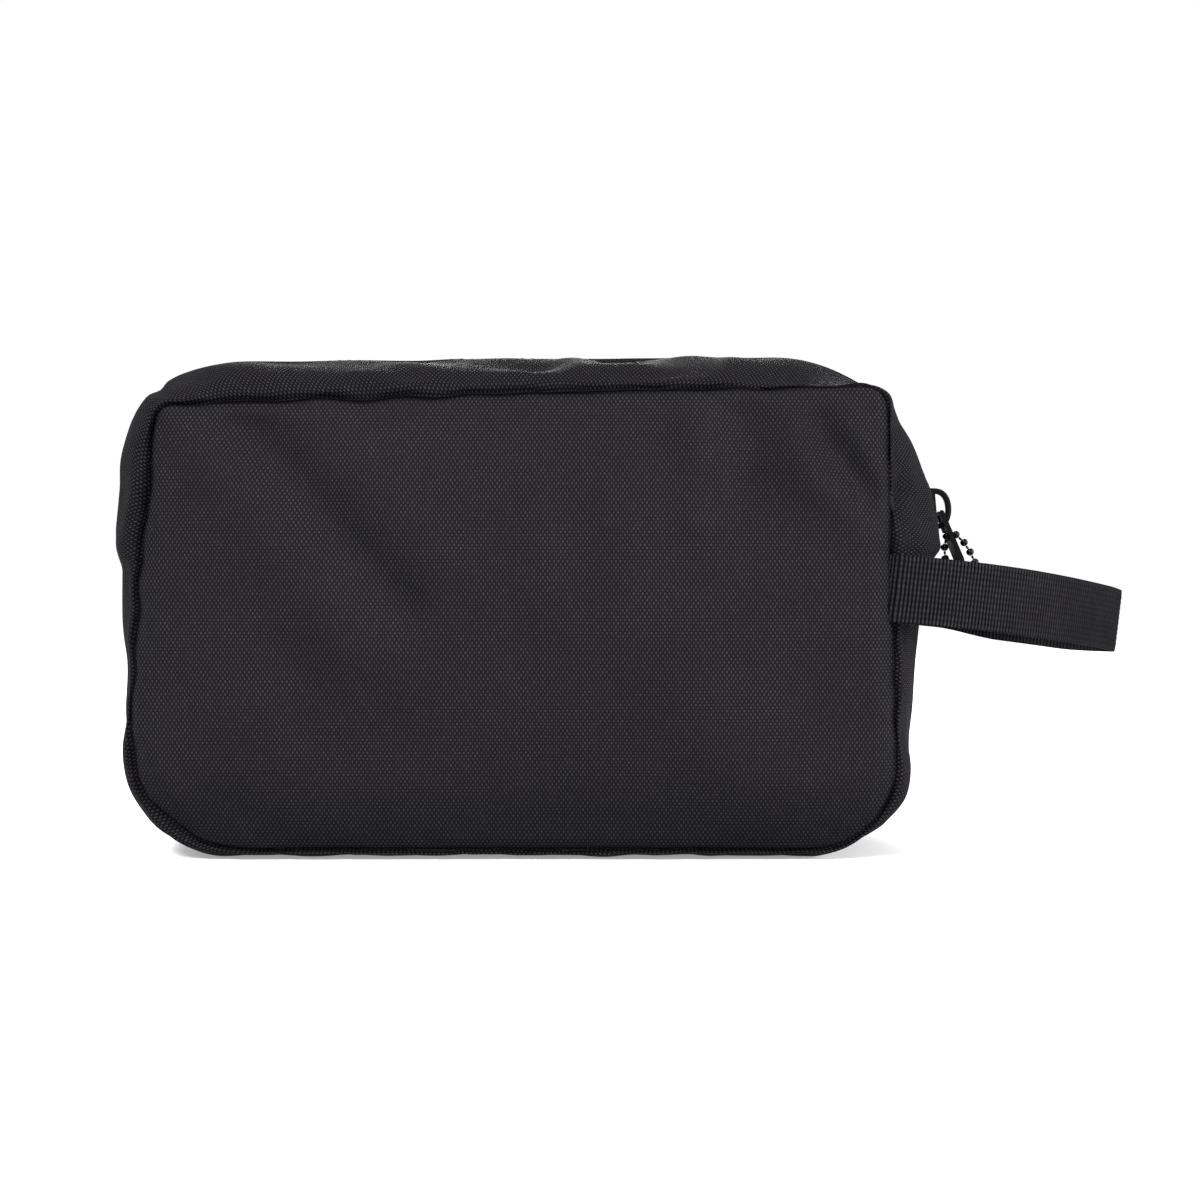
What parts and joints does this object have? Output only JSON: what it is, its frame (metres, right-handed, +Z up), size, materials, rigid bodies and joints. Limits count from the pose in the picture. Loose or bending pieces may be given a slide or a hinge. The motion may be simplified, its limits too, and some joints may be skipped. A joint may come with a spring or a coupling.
{
  "type": "toiletry bag",
  "caption": "Soft black box-shaped toiletry bag with a wrap-round top zip, zip pull on a ball chain, and a side webbing loop to hang or carry it.",
  "frame": {"origin": "middle of the flat base, midway between the two panels and under the zip", "axes": "+Z up from the base, +X towards the webbing loop at the side, -Y out of the plain rear panel"},
  "size_m": [0.3113, 0.094, 0.149],
  "materials": {
    "shell_fabric": "matte woven polyester oxford",
    "lining_fabric": "thin plain-woven polyester",
    "seam_binding": "folded binding tape",
    "zip_tape": "fine woven tape",
    "zip_coil": "nylon coil",
    "slider_metal": "black enamel",
    "chain_metal": "black nickel",
    "webbing": "ribbed polypropylene webbing"
  },
  "bodies": {
    "bag": {"rear_panel": "shell_fabric", "front_panel_lower": "shell_fabric", "lower_gusset": "shell_fabric", "zip_strip_rear": "shell_fabric", "rear_lining": "lining_fabric", "front_lining_lower": "lining_fabric", "lower_gusset_lining": "lining_fabric", "zip_strip_lining_rear": "lining_fabric", "seam_binding_rear": "seam_binding", "seam_binding_front_lower": "seam_binding", "zip_tape_rear": "zip_tape", "zip_coil_rear": "zip_coil", "zip_end_tab_left": "shell_fabric", "zip_end_tab_right": "shell_fabric", "zip_stops": "slider_metal"},
    "flap": {"front_panel_upper": "shell_fabric", "zip_strip_front": "shell_fabric", "front_lining_upper": "lining_fabric", "zip_strip_lining_front": "lining_fabric", "seam_binding_front_upper": "seam_binding", "zip_tape_front": "zip_tape", "zip_coil_front": "zip_coil"},
    "slider": {"slider_body": "slider_metal", "slider_crown": "slider_metal", "slider_lock_spring": "slider_metal"},
    "pull_tab": {"pull_tab": "slider_metal"},
    "chain": {"chain_beads": "chain_metal", "chain_wires": "chain_metal", "chain_clasp": "chain_metal"},
    "handle": {"handle_webbing": "webbing"}
  },
  "joints": [
    {"name": "flap_hinge", "type": "hinge", "parent": "bag", "child": "flap", "pos_m": [0, 0.047, 0.0872], "axis": [-1, 0, 0], "range_deg": [0, 60]},
    {"name": "zip_travel", "type": "hinge", "parent": "bag", "child": "slider", "pos_m": [0.076, 0, 0.099], "axis": [0, -1, 0], "range_deg": [0, 80]},
    {"name": "pull_tab_swing", "type": "hinge", "parent": "slider", "child": "pull_tab", "pos_m": [0.1277, 0, 0.1015], "axis": [0, -1, 0], "range_deg": [0, 100]},
    {"name": "chain_swing", "type": "hinge", "parent": "pull_tab", "child": "chain", "pos_m": [0.1311, 0, 0.0954], "axis": [1, 0, 0], "range_deg": [-30, 30]},
    {"name": "handle_swing", "type": "hinge", "parent": "bag", "child": "handle", "pos_m": [0.105, 0, 0.078], "axis": [0, -1, 0], "range_deg": [-20, 25], "stiffness_Nm_per_rad": 0.02, "springref_deg": 3.44}
  ]
}
